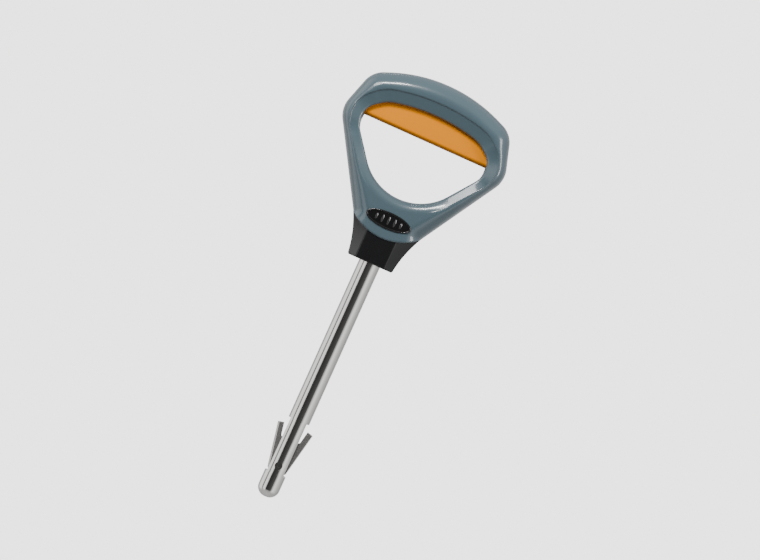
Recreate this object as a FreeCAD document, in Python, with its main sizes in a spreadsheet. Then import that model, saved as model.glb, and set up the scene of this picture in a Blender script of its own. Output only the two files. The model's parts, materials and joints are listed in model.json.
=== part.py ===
import FreeCAD, Part
import math
import os
import Sketcher

# Hitch pin lock: a half-inch pin with a D handle, a trigger and two folding wings.
# Millimetres and degrees. The origin is the centre of the collar's underside, +Z runs
# up the pin towards the handle, -Y is the front and +X is the viewer's right.

SIZES = {
    # shank of the pin
    "pin_dia": 12.7,
    "grip_length": 97.3,
    "slot_length": 32.5,
    "slot_width": 7.3,
    "tip_length": 14.3,
    "tip_round": 5.6,
    "shank_top": 18.0,
    "neck_bottom": 9.0,
    "neck_width": 2.2,
    "neck_dia": 10.7,
    "key_length": 5.0,
    "key_flat": 5.4,
    "undercut_width": 1.2,
    "undercut_depth": 0.25,
    # rod, its crosshead end and its pins
    "rod_dia": 5.0,
    "rod_gap": 0.2,
    "tang_thick": 2.4,
    "stub_dia": 4.0,
    "drive_dia": 2.5,
    "drive_rise": 7.0,
    "pivot_dia": 4.4,
    "pivot_drop": 27.4,
    # wings
    "sheet": 1.0,
    "wing_angle": 11.0,
    "wing_length": 24.0,
    "flange_width": 3.6,
    "wing_gap": 0.1,
    "hub_margin": 1.2,
    "foot_gap": 0.4,
    # trigger
    "travel": 6.0,
    "trigger_bottom": 75.9,
    "trigger_top": 92.3,
    "trigger_thick": 12.0,
    "trigger_half": 43.4,
    "trigger_round": 2.5,
    "trigger_slope": 12.6,
    "trigger_shelf": 8.4,
    "trigger_end": 5.1,
    "slot_below": 2.6,
    "slide_gap": 0.4,
    "yoke_thick": 1.5,
    "yoke_width": 8.0,
    "yoke_seat": 23.0,
    "yoke_bend": 3.0,
    "yoke_inset": 3.35,
    "yoke_leg_foot": 13.6,
    "rivet_dia": 2.4,
    "rivet_head": 0.9,
    "rivet_grip": 3.0,
    "washer_thick": 0.9,
    "nut_height": 3.1,
    # spring
    "spring_bore": 8.4,
    "spring_mean": 6.7,
    "spring_wire": 0.9,
    "spring_turns": 9.0,
    "spring_length": 28.0,
    "bush_length": 6.0,
    "bush_gap": 0.15,
    "clip_thick": 0.8,
    "clip_groove": 0.6,
    "clip_room": 3.0,
    # handle shells
    "half_depth": 12.5,
    "wall": 2.2,
    "edge_round": 5.5,
    "bevel_width": 3.6,
    "bevel_depth": 2.6,
    "crown_apex": 116.8,
    "crown_round": 88.0,
    "shoulder_x": 42.9,
    "shoulder_z": 99.2,
    "shoulder_round": 14.0,
    "hip_x": 50.8,
    "hip_z": 73.6,
    "hip_round": 15.0,
    "hub_half": 20.6,
    "hub_bottom": 23.3,
    "bib_apex": 4.8,
    "bib_round": 30.0,
    "mouth_top": 91.0,
    "mouth_top_round": 64.0,
    "mouth_corner_x": 37.3,
    "mouth_corner_z": 86.9,
    "mouth_corner_round": 13.0,
    "mouth_side_x": 38.6,
    "mouth_side_z": 72.3,
    "mouth_side_round": 9.0,
    "mouth_foot_x": 17.1,
    "mouth_foot_z": 42.4,
    "mouth_foot_round": 6.0,
    "mouth_base": 39.6,
    "mouth_base_round": 40.0,
    # spigot and collar
    "spigot_half": 10.8,
    "spigot_depth": 7.8,
    "collar_floor": 3.0,
    "collar_foot": 13.7,
    "collar_mid": 16.2,
    "collar_top": 21.0,
    "collar_foot_depth": 10.6,
    "collar_foot_round": 5.2,
    "fit_gap": 0.1,
    # screws
    "screw_dia": 2.9,
    "screw_head": 5.4,
    "screw_head_thick": 2.0,
    "screw_seat": 7.0,
    "screw_reach": 7.0,
    "boss_wall": 1.3,
    "boss_head_wall": 1.5,
    "crown_screw_x": 18.0,
    "crown_screw_z": 101.6,
    "corner_screw_x": 39.3,
    "corner_screw_z": 93.4,
    # badge
    "badge_half": 13.65,
    "badge_rise": 4.95,
    "badge_z": 25.8,
    "badge_thick": 1.8,
    "badge_proud": 0.6,
    "badge_rim": 0.9,
    "badge_sink": 0.4,
    "rib_half": 0.9,
    "rib_height": 0.5,
}


class Size:
    """A number of the model together with the sheet formula that gives it."""

    def __init__(self, value, text):
        self.value = float(value)
        self.text = text

    @staticmethod
    def of(other):
        return other if isinstance(other, Size) else Size(other, repr(float(other)))

    def join(self, sign, other, value):
        return Size(value, f"({self.text} {sign} {other.text})")

    def __add__(self, other):
        other = Size.of(other)
        return self.join("+", other, self.value + other.value)

    def __sub__(self, other):
        other = Size.of(other)
        return self.join("-", other, self.value - other.value)

    def __mul__(self, other):
        other = Size.of(other)
        return self.join("*", other, self.value * other.value)

    def __truediv__(self, other):
        other = Size.of(other)
        return self.join("/", other, self.value / other.value)

    def __radd__(self, other):
        return Size.of(other) + self

    def __rsub__(self, other):
        return Size.of(other) - self

    def __rmul__(self, other):
        return Size.of(other) * self

    def __neg__(self):
        return 0.0 - self


def sine(size):
    return Size(math.sin(math.radians(size.value)), f"sin({size.text})")


def cosine(size):
    return Size(math.cos(math.radians(size.value)), f"cos({size.text})")


doc = FreeCAD.newDocument("HitchPinLock")
sheet = doc.addObject("Spreadsheet::Sheet", "Sheet")
for row, (alias, number) in enumerate(SIZES.items(), start=1):
    sheet.set(f"A{row}", alias)
    sheet.set(f"B{row}", str(number))
    sheet.setAlias(f"B{row}", alias)
doc.recompute()


def cell(alias):
    return Size(SIZES[alias], f"Sheet.{alias}")


NODES = []


# ---- drawing helpers -------------------------------------------------------------------

def new_body(label):
    """An empty body that becomes one node."""
    body = doc.addObject("PartDesign::Body", label)
    body.Label = label
    body.AllowCompound = True
    NODES.append(body)
    return body


def new_sketch(body, role, offset=0.0):
    """A sketch on one of the body's origin planes, shifted along that plane's normal."""
    sketch = body.newObject("Sketcher::SketchObject", "Sketch")
    plane = [item for item in body.Origin.OriginFeatures if item.Role == role][0]
    sketch.AttachmentSupport = (plane, [""])
    sketch.MapMode = "FlatFace"
    offset = Size.of(offset)
    sketch.AttachmentOffset = FreeCAD.Placement(
        FreeCAD.Vector(0, 0, offset.value), FreeCAD.Rotation())
    sketch.setExpression("AttachmentOffset.Base.z", offset.text)
    return sketch


def hold(sketch, kind, where, size):
    """One driving dimension of a sketch, bound to its sheet formula."""
    size = Size.of(size)
    index = sketch.addConstraint(Sketcher.Constraint(kind, *where, size.value))
    sketch.setExpression(f"Constraints[{index}]", size.text)


def circle(sketch, x, y, radius):
    x, y, radius = Size.of(x), Size.of(y), Size.of(radius)
    centre = FreeCAD.Vector(x.value, y.value, 0)
    ring = sketch.addGeometry(Part.Circle(centre, FreeCAD.Vector(0, 0, 1), radius.value))
    hold(sketch, "Radius", (ring,), radius)
    hold(sketch, "DistanceX", (ring, 3), x)
    hold(sketch, "DistanceY", (ring, 3), y)


def corner_arc(before, corner, after, radius):
    """Centre, start and end of the arc that rounds a corner, and whether it turns left."""
    back = (before - corner).normalize()
    ahead = (after - corner).normalize()
    half = back.getAngle(ahead) / 2
    start = corner + back * (radius / math.tan(half))
    end = corner + ahead * (radius / math.tan(half))
    centre = corner + (back + ahead).normalize() * (radius / math.sin(half))
    turns_left = back.cross(ahead).z < 0
    return centre, start, end, turns_left


def outline(sketch, corners):
    """A closed outline of straight runs through (x, y, radius) corners; radius 0 is sharp."""
    corners = [tuple(Size.of(item) for item in corner) for corner in corners]
    points = [FreeCAD.Vector(x.value, y.value, 0) for x, y, _ in corners]
    total = len(points)
    rounds = []
    for index, (_, _, radius) in enumerate(corners):
        if radius.value:
            after = points[(index + 1) % total]
            rounds.append(corner_arc(points[index - 1], points[index], after, radius.value))
        else:
            rounds.append((None, points[index], points[index], True))
    lines = []
    for index in range(total):
        start = rounds[index][2]
        end = rounds[(index + 1) % total][1]
        lines.append(sketch.addGeometry(Part.LineSegment(start, end)))
    for index, (x, y, radius) in enumerate(corners):
        before = lines[index - 1]
        after = lines[index]
        centre, start, end, turns_left = rounds[index]
        if centre is None:
            sketch.addConstraint(Sketcher.Constraint("Coincident", before, 2, after, 1))
            hold(sketch, "DistanceX", (after, 1), x)
            hold(sketch, "DistanceY", (after, 1), y)
            continue
        first, last = (start, end) if turns_left else (end, start)
        ring = Part.Circle(centre, FreeCAD.Vector(0, 0, 1), radius.value)
        arc = Part.ArcOfCircle(ring, ring.parameter(first), ring.parameter(last))
        bend = sketch.addGeometry(arc)
        near, far = (1, 2) if turns_left else (2, 1)
        sketch.addConstraint(Sketcher.Constraint("Tangent", before, 2, bend, near))
        sketch.addConstraint(Sketcher.Constraint("Tangent", bend, far, after, 1))
        hold(sketch, "Radius", (bend,), radius)
        mark = sketch.addGeometry(Part.Point(points[index]), True)
        sketch.addConstraint(Sketcher.Constraint("PointOnObject", mark, 1, before))
        sketch.addConstraint(Sketcher.Constraint("PointOnObject", mark, 1, after))
        hold(sketch, "DistanceX", (mark, 1), x)
        hold(sketch, "DistanceY", (mark, 1), y)


def rectangle(sketch, left, right, low, high):
    outline(sketch, [(left, low, 0), (right, low, 0), (right, high, 0), (left, high, 0)])


def extrude(body, kind, sketch, length):
    """Pad or pocket that runs from the sketch along its plane's normal."""
    feature = body.newObject(f"PartDesign::{kind}", kind)
    feature.Profile = sketch
    feature.Type = "Length"
    feature.Reversed = kind == "Pocket"
    feature.setExpression("Length", Size.of(length).text)
    doc.recompute()
    return feature


def cut_through(body, sketch):
    """Pocket through everything, both ways from the sketch."""
    pocket = body.newObject("PartDesign::Pocket", "Pocket")
    pocket.Profile = sketch
    pocket.SideType = "Symmetric"
    pocket.Type = "ThroughAll"
    doc.recompute()
    return pocket


def turn(body, kind, sketch):
    """Revolution or groove of a sketch about its vertical axis."""
    feature = body.newObject(f"PartDesign::{kind}", kind)
    feature.Profile = sketch
    feature.ReferenceAxis = (sketch, ["V_Axis"])
    feature.Angle = 360
    doc.recompute()
    return feature


def edges_of(feature, wanted):
    """Names of the edges of a feature for which wanted(edge) is true."""
    edges = enumerate(feature.Shape.Edges, start=1)
    return [f"Edge{number}" for number, edge in edges if wanted(edge)]


def soften(body, kind, feature, wanted, size):
    """Fillet or chamfer of chosen edges."""
    dressing = body.newObject(f"PartDesign::{kind}", kind)
    dressing.Base = (feature, edges_of(feature, wanted))
    dressing.setExpression("Radius" if kind == "Fillet" else "Size", Size.of(size).text)
    doc.recompute()
    return dressing


def block(body, kind, role, spans, low, high):
    """A straight block, added or cut: spans in the plane, low to high along its normal."""
    sketch = new_sketch(body, role, low)
    rectangle(sketch, *spans)
    return extrude(body, kind, sketch, Size.of(high) - low)


def rod(body, kind, role, centre, radius, low, high):
    """A round rod, added or cut: centre in the plane, low to high along its normal."""
    sketch = new_sketch(body, role, low)
    circle(sketch, *centre, radius)
    return extrude(body, kind, sketch, Size.of(high) - low)


def mirrored(right_side):
    """An outline that is symmetric left to right, from its right-hand corners, top first."""
    left_side = [(-x, y, r) for x, y, r in reversed(right_side) if x.value]
    return right_side + left_side


# ---- places worked out from the driving dimensions ---------------------------------------

PIN_R = cell("pin_dia") / 2
SLOT_TOP = -cell("grip_length")
SLOT_BOTTOM = SLOT_TOP - cell("slot_length")
TIP = SLOT_BOTTOM - cell("tip_length")
PIVOT_Z = SLOT_TOP - cell("pivot_drop")
DRIVE_Z = PIVOT_Z + cell("drive_rise")
DRIVE_R = cell("drive_dia") / 2
PIVOT_R = cell("pivot_dia") / 2
ROD_R = cell("rod_dia") / 2
STUB_R = cell("stub_dia") / 2
SPRING_TOP = cell("shank_top") - cell("bush_length")
SPRING_FOOT = SPRING_TOP - cell("spring_length")
RELIEF_R = PIN_R - cell("undercut_depth")
CLIP_R = cell("spigot_depth") - 0.8
PIVOT_TO_SLOT_END = SLOT_BOTTOM - PIVOT_Z
YOKE_X = cell("trigger_half") - 1.8
YOKE_TOP = cell("trigger_bottom") + 4.2
RIVET_Z = cell("trigger_bottom") + 2.4
WASHER_LOW = cell("yoke_seat") + cell("yoke_thick") / 2
NUT_TOP = WASHER_LOW + cell("washer_thick") + cell("nut_height")
ZERO = Size(0, "0")

OUTER = mirrored([
    (ZERO, cell("crown_apex"), cell("crown_round")),
    (cell("shoulder_x"), cell("shoulder_z"), cell("shoulder_round")),
    (cell("hip_x"), cell("hip_z"), cell("hip_round")),
    (cell("hub_half"), cell("hub_bottom"), ZERO),
    (ZERO, cell("bib_apex"), cell("bib_round")),
])
MOUTH = mirrored([
    (ZERO, cell("mouth_top"), cell("mouth_top_round")),
    (cell("mouth_corner_x"), cell("mouth_corner_z"), cell("mouth_corner_round")),
    (cell("mouth_side_x"), cell("mouth_side_z"), cell("mouth_side_round")),
    (cell("mouth_foot_x"), cell("mouth_foot_z"), cell("mouth_foot_round")),
    (ZERO, cell("mouth_base"), cell("mouth_base_round")),
])
TRIGGER = mirrored([
    (cell("trigger_half") * 0.46, cell("trigger_top"), 4.0),
    (cell("trigger_half") * 0.74, cell("trigger_bottom") + cell("trigger_slope"), 4.0),
    (cell("trigger_half") * 0.84, cell("trigger_bottom") + cell("trigger_shelf"), 2.0),
    (cell("trigger_half"), cell("trigger_bottom") + cell("trigger_end"), 1.0),
    (cell("trigger_half"), cell("trigger_bottom"), 1.0),
])
SCREW_SPOTS = [
    (side * cell(f"{name}_screw_x"), cell(f"{name}_screw_z"))
    for name in ("crown", "corner")
    for side in (-1, 1)
]


# ---- handle -------------------------------------------------------------------------------

def make_shell(label, front):
    """One half of the D handle: hollow ring, screw bosses, shank seat and spigot."""
    body = new_body(label)
    depth = cell("half_depth")
    sketch = new_sketch(body, "XZ_Plane", ZERO if front else -depth)
    outline(sketch, OUTER)
    outline(sketch, MOUTH)
    ring = extrude(body, "Pad", sketch, depth)

    face_y = -depth.value if front else depth.value

    def on_face(edge):
        return all(abs(vertex.Y - face_y) < 0.001 for vertex in edge.Vertexes)

    def middle_of(edge):
        return edge.valueAt((edge.FirstParameter + edge.LastParameter) / 2)

    def outer_edge(edge):
        middle = middle_of(edge)
        above_bib = middle.z > SIZES["hub_bottom"] + 1
        beyond = abs(middle.x) > abs_mouth_x(middle.z) + 1 or middle.z > SIZES["mouth_top"] + 3
        return on_face(edge) and above_bib and beyond

    def mouth_edge(edge):
        middle = middle_of(edge)
        above_bib = middle.z > SIZES["hub_bottom"] + 1
        return on_face(edge) and above_bib and not outer_edge(edge)

    rounded = soften(body, "Fillet", ring, outer_edge, cell("edge_round"))
    bevel = body.newObject("PartDesign::Chamfer", "Chamfer")
    bevel.Base = (rounded, edges_of(rounded, mouth_edge))
    bevel.ChamferType = "Two distances"
    bevel.setExpression("Size", cell("bevel_width").text)
    bevel.setExpression("Size2", cell("bevel_depth").text)
    doc.recompute()

    hollow = body.newObject("PartDesign::Thickness", "Thickness")
    faces = enumerate(bevel.Shape.Faces, start=1)
    open_faces = [f"Face{number}" for number, face in faces
                  if abs(face.BoundBox.YMin) < 0.001 and abs(face.BoundBox.YMax) < 0.001]
    hollow.Base = (bevel, open_faces)
    hollow.Reversed = True
    hollow.setExpression("Value", cell("wall").text)
    doc.recompute()

    def span(near, far):
        """Low and high along the plane's normal, for depths behind the split plane."""
        near, far = Size.of(near), Size.of(far)
        return (near, far) if front else (-far, -near)

    # spigot that enters the collar, and the shank's seat in it
    half = cell("spigot_half")
    foot = cell("collar_floor") + cell("fit_gap")
    seat_top = cell("shank_top") + cell("slide_gap")
    block(body, "Pad", "XZ_Plane", (-half, half, foot, seat_top), *span(0, cell("spigot_depth")))
    key_foot = cell("shank_top") - cell("key_length")
    rod(body, "Pocket", "XY_Plane", (ZERO, ZERO), PIN_R, foot - 1, key_foot)
    key = cell("key_flat")
    keyway = new_sketch(body, "XY_Plane", key_foot)
    rectangle(keyway, -PIN_R, PIN_R, -key, key)
    extrude(body, "Pocket", keyway, cell("key_length") + cell("slide_gap") + 1)
    rod(body, "Pocket", "XY_Plane", (ZERO, ZERO), CLIP_R + cell("fit_gap"),
        cell("neck_bottom"), cell("neck_bottom") + cell("neck_width"))

    # slot in the inner wall, in which the trigger travels
    clear = cell("trigger_thick") / 2 + cell("slide_gap")
    side = cell("trigger_half") + cell("slide_gap") + cell("fit_gap") * 2
    raised = cell("trigger_bottom") + cell("travel")
    slot = new_sketch(body, "XZ_Plane", span(0, clear)[0])
    outline(slot, mirrored([
        (side * 0.40, cell("trigger_top") + cell("travel") + cell("slide_gap"), ZERO),
        (side * 0.72, cell("trigger_top") + cell("travel") - 1.0, ZERO),
        (side * 0.86, raised + cell("trigger_shelf") + 0.8, ZERO),
        (side, raised + cell("trigger_end") + 0.7, ZERO),
        (side, cell("trigger_bottom") - cell("slot_below"), ZERO),
    ]))
    extrude(body, "Pocket", slot, clear)

    # screw bosses: slim beside the trigger, stout behind it
    slim = cell("screw_dia") / 2 + cell("boss_wall")
    stout = cell("screw_head") / 2 + cell("boss_head_wall")
    deep = cell("half_depth") - cell("wall") / 2
    for spot in SCREW_SPOTS:
        rod(body, "Pad", "XZ_Plane", spot, slim, *span(0, deep))
        rod(body, "Pad", "XZ_Plane", spot, stout, *span(clear + cell("fit_gap") * 3, deep))
        if front:
            rod(body, "Pocket", "XZ_Plane", spot, cell("screw_dia") / 2, *span(0, cell("screw_reach")))
        else:
            hole = cell("screw_dia") / 2 + cell("fit_gap")
            rod(body, "Pocket", "XZ_Plane", spot, hole, *span(0, cell("screw_seat")))
            mouth = cell("screw_head") / 2 + cell("fit_gap")
            well = span(cell("screw_seat"), cell("half_depth") + 1)
            rod(body, "Pocket", "XZ_Plane", spot, mouth, *well)

    if front:
        recess = new_sketch(body, "XZ_Plane", depth - cell("badge_thick") + cell("badge_proud"))
        ellipse(recess, cell("badge_z"), cell("badge_half"), cell("badge_rise"))
        extrude(body, "Pocket", recess, cell("badge_thick") + 1)


def ellipse(sketch, centre_z, half, rise):
    """A lying ellipse on the pin's axis."""
    centre = FreeCAD.Vector(0, centre_z.value, 0)
    tip = FreeCAD.Vector(half.value, centre_z.value, 0)
    crest = FreeCAD.Vector(0, centre_z.value + rise.value, 0)
    oval = sketch.addGeometry(Part.Ellipse(tip, crest, centre))
    sketch.exposeInternalGeometry(oval)
    hold(sketch, "DistanceX", (oval, 3), ZERO)
    hold(sketch, "DistanceY", (oval, 3), centre_z)
    sketch.addConstraint(Sketcher.Constraint("Horizontal", oval + 1))
    hold(sketch, "Distance", (oval + 1,), half * 2)
    hold(sketch, "Distance", (oval + 2,), rise * 2)


def abs_mouth_x(z):
    """Half width of the finger opening's corner polygon at height z."""
    side = [(corner[0].value, corner[1].value) for corner in MOUTH[:5]]
    for (upper_x, upper_z), (lower_x, lower_z) in zip(side, side[1:]):
        if lower_z <= z <= upper_z:
            share = (z - lower_z) / (upper_z - lower_z)
            return lower_x + (upper_x - lower_x) * share
    return 0.0


def make_badge():
    """Oval badge with a raised rim and plain ribs."""
    body = new_body("badge_plate")
    back = cell("half_depth") - cell("badge_thick") + cell("badge_proud")
    face = back + cell("badge_thick")
    sketch = new_sketch(body, "XZ_Plane", back)
    gap = cell("fit_gap")
    ellipse(sketch, cell("badge_z"), cell("badge_half") - gap, cell("badge_rise") - gap)
    extrude(body, "Pad", sketch, cell("badge_thick"))
    rim = cell("badge_rim")
    sunk = new_sketch(body, "XZ_Plane", face - cell("badge_sink"))
    ellipse(sunk, cell("badge_z"), cell("badge_half") - rim, cell("badge_rise") - rim)
    extrude(body, "Pocket", sunk, 1)
    wide = cell("rib_half")
    crest = face - cell("fit_gap")
    for step in (-2, -1, 0, 1, 2):
        middle = cell("badge_half") * step * 0.28
        tall = cell("badge_rise") * (0.52 - 0.09 * abs(step))
        spans = (middle - wide, middle + wide, cell("badge_z") - tall, cell("badge_z") + tall)
        block(body, "Pad", "XZ_Plane", spans, crest - cell("rib_height"), crest)


def make_collar():
    """Flared ferrule with a floor, which clamps the shells' spigots."""
    body = new_body("collar")
    foot_depth = cell("collar_foot_depth")
    foot_round = cell("collar_foot_round")
    mid_depth = (foot_depth + cell("half_depth")) / 2
    levels = [
        (ZERO, cell("collar_foot"), foot_depth, foot_round),
        (cell("hub_bottom") / 2, cell("collar_mid"), mid_depth, foot_round + 0.6),
        (cell("hub_bottom"), cell("collar_top"), cell("half_depth"), foot_round + 1.8),
    ]
    rings = []
    for height, half, deep, round_off in levels:
        ring = new_sketch(body, "XY_Plane", height)
        outline(ring, [(half, -deep, round_off), (half, deep, round_off),
                       (-half, deep, round_off), (-half, -deep, round_off)])
        rings.append(ring)
    loft = body.newObject("PartDesign::AdditiveLoft", "Loft")
    loft.Profile = rings[0]
    loft.Sections = rings[1:]
    doc.recompute()
    wide = cell("spigot_half") + cell("fit_gap")
    deep = cell("spigot_depth") + cell("fit_gap")
    floor = cell("collar_floor")
    block(body, "Pocket", "XY_Plane", (-wide, wide, -deep, deep), floor, cell("hub_bottom") + 1)
    rod(body, "Pocket", "XY_Plane", (ZERO, ZERO), PIN_R + cell("fit_gap"), -1, floor + 1)
    scoop = new_sketch(body, "XZ_Plane")
    edge = cell("hub_half")
    outline(scoop, [
        (-edge, cell("hub_bottom"), ZERO),
        (ZERO, cell("bib_apex"), cell("bib_round")),
        (edge, cell("hub_bottom"), ZERO),
        (edge * 2, cell("hub_bottom"), ZERO),
        (edge * 2, cell("hub_bottom") + 9, ZERO),
        (-edge * 2, cell("hub_bottom") + 9, ZERO),
        (-edge * 2, cell("hub_bottom"), ZERO),
    ])
    cut_through(body, scoop)


def make_screws():
    """The shells' screws: head with a cross recess, and shank towards the front."""
    body = new_body("shell_screws")
    seat = -cell("screw_seat")
    top = seat - cell("screw_head_thick")
    arm = cell("screw_head") * 0.30
    blade = cell("screw_head") * 0.075
    for spot in SCREW_SPOTS:
        rod(body, "Pad", "XZ_Plane", spot, cell("screw_dia") / 2, seat, cell("screw_reach"))
        rod(body, "Pad", "XZ_Plane", spot, cell("screw_head") / 2, top, seat)
    for x, z in SCREW_SPOTS:
        for wide, tall in ((arm, blade), (blade, arm)):
            spans = (x - wide, x + wide, z - tall, z + tall)
            block(body, "Pocket", "XZ_Plane", spans, top - 1, top + cell("screw_head_thick") * 0.55)


# ---- pin ----------------------------------------------------------------------------------

def make_shank():
    """Bored shank: domed tip, through slot for the wings, neck groove and key flats. The
    full diameter ends in an undercut in the collar and is relieved around the wings."""
    body = new_body("pin_shank")
    shaft = rod(body, "Pad", "XY_Plane", (ZERO, ZERO), PIN_R, TIP, cell("shank_top"))
    soften(body, "Fillet", shaft, lambda edge: edge.BoundBox.ZMax < TIP.value + 0.01, cell("tip_round"))
    bore = ROD_R + cell("rod_gap")
    rod(body, "Pocket", "XY_Plane", (ZERO, ZERO), bore, SLOT_TOP - 1, cell("shank_top") + 1)
    rod(body, "Pocket", "XY_Plane", (ZERO, ZERO), cell("spring_bore") / 2,
        SPRING_FOOT - cell("clip_thick") - cell("clip_room"), cell("shank_top") + 1)
    slot = new_sketch(body, "YZ_Plane")
    half = cell("slot_width") / 2
    rectangle(slot, -half, half, SLOT_BOTTOM, SLOT_TOP)
    cut_through(body, slot)
    grooves = [
        (cell("neck_dia") / 2, cell("neck_bottom"), cell("neck_bottom") + cell("neck_width")),
        (RELIEF_R, ZERO, cell("undercut_width")),
        (RELIEF_R, SLOT_BOTTOM, SLOT_TOP),
    ]
    for radius, low, high in grooves:
        groove = new_sketch(body, "XZ_Plane")
        rectangle(groove, radius, PIN_R + 1, low, high)
        turn(body, "Groove", groove)
    for near in (cell("key_flat"), -cell("key_flat") - 3):
        block(body, "Pocket", "XY_Plane", (-PIN_R - 1, PIN_R + 1, near, near + 3),
              cell("shank_top") - cell("key_length"), cell("shank_top") + 1)
    rod(body, "Pocket", "XZ_Plane", (ZERO, PIVOT_Z), PIVOT_R, -PIN_R - 1, PIN_R + 1)


def make_retaining_clip():
    """C-shaped plate in the shank's neck groove, trapped between the shells."""
    body = new_body("shank_retaining_clip")
    low = cell("neck_bottom") + cell("fit_gap")
    high = cell("neck_bottom") + cell("neck_width") - cell("fit_gap")
    neck = cell("neck_dia") / 2 + cell("fit_gap")
    rod(body, "Pad", "XY_Plane", (ZERO, ZERO), CLIP_R, low, high)
    rod(body, "Pocket", "XY_Plane", (ZERO, ZERO), neck, low, high)
    block(body, "Pocket", "XY_Plane", (ZERO, CLIP_R + 1, -neck, neck), low, high)


def make_bush():
    """Guide bush in the mouth of the shank; the spring bears on its lower end."""
    body = new_body("rod_guide_bush")
    rod(body, "Pad", "XY_Plane", (ZERO, ZERO), cell("spring_bore") / 2, SPRING_TOP, cell("shank_top"))
    rod(body, "Pocket", "XY_Plane", (ZERO, ZERO), ROD_R + cell("bush_gap") / 2,
        SPRING_TOP - 1, cell("shank_top") + 1)


def make_pivot_pin():
    """Cross pin of the wings, ends flush with the shank, dimpled by riveting."""
    body = new_body("wing_pivot_pin")
    reach = RELIEF_R - cell("fit_gap")
    dimple = PIVOT_R / 4
    rod(body, "Pad", "XZ_Plane", (ZERO, PIVOT_Z), PIVOT_R, -reach, reach)
    for low in (-reach, reach - dimple):
        rod(body, "Pocket", "XZ_Plane", (ZERO, PIVOT_Z), PIVOT_R * 0.45, low, low + dimple)


# ---- trigger and rod ----------------------------------------------------------------------

def make_trigger():
    """Finger bar with a rounded lower edge and a socket for the yoke at each end."""
    body = new_body("trigger_grip")
    half = cell("trigger_thick") / 2
    sketch = new_sketch(body, "XZ_Plane", -half)
    outline(sketch, TRIGGER)
    bar = extrude(body, "Pad", sketch, cell("trigger_thick"))
    bottom = SIZES["trigger_bottom"]

    def finger_edge(edge):
        box = edge.BoundBox
        return box.ZMax < bottom + 0.01 and box.XLength > SIZES["trigger_half"]

    soften(body, "Fillet", bar, finger_edge, cell("trigger_round"))
    deep = cell("yoke_width") / 2 + cell("fit_gap")
    thick = cell("yoke_thick") / 2 + cell("fit_gap")
    for side in (-1, 1):
        middle = side * YOKE_X
        bottom_z = cell("trigger_bottom") - 1
        spans = (middle - thick, middle + thick, bottom_z, YOKE_TOP + cell("fit_gap"))
        block(body, "Pocket", "XZ_Plane", spans, -deep, deep)
        inner = side * (YOKE_X - cell("rivet_grip") - cell("fit_gap"))
        outer = side * (cell("trigger_half") + 1)
        low, high = (inner, outer) if side > 0 else (outer, inner)
        hole = cell("rivet_dia") / 2 + cell("fit_gap")
        rod(body, "Pocket", "YZ_Plane", (ZERO, RIVET_Z), hole, low, high)


def make_yoke():
    """Steel strip bent from one trigger end, down the legs and across to the other."""
    body = new_body("trigger_yoke")
    half = cell("yoke_thick") / 2
    centre = yoke_corners()
    path = new_sketch(body, "XZ_Plane")
    open_path(path, centre, cell("yoke_bend"))
    strip = new_sketch(body, "XY_Plane", centre[0][1])
    deep = cell("yoke_width") / 2
    rectangle(strip, centre[0][0] - half, centre[0][0] + half, -deep, deep)
    sweep = body.newObject("PartDesign::AdditivePipe", "Pipe")
    sweep.Profile = strip
    sweep.Spine = path
    sweep.Mode = "Standard"
    doc.recompute()
    thick = cell("yoke_thick")
    rod(body, "Pocket", "XY_Plane", (ZERO, ZERO), STUB_R + cell("fit_gap") / 2,
        cell("yoke_seat") - thick, cell("yoke_seat") + thick)
    for side in (-1, 1):
        middle = side * YOKE_X
        rod(body, "Pocket", "YZ_Plane", (ZERO, RIVET_Z), cell("rivet_dia") / 2,
            middle - thick, middle + thick)


def yoke_corners():
    """Right half of the yoke's centre line: trigger end, leg, crosshead."""
    lean = (cell("hip_x") - cell("hub_half")) / (cell("hip_z") - cell("hub_bottom"))
    inset = cell("yoke_inset") + cell("yoke_thick") / 2
    leg_top = cell("hub_bottom") + (YOKE_X + inset - cell("hub_half")) / lean
    leg_foot = cell("yoke_seat") + cell("yoke_leg_foot")
    foot_x = cell("hub_half") - inset + (leg_foot - cell("hub_bottom")) * lean
    return [
        (YOKE_X, YOKE_TOP),
        (YOKE_X, leg_top),
        (foot_x, leg_foot),
        (cell("stub_dia") * 2.2, cell("yoke_seat")),
    ]


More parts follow.
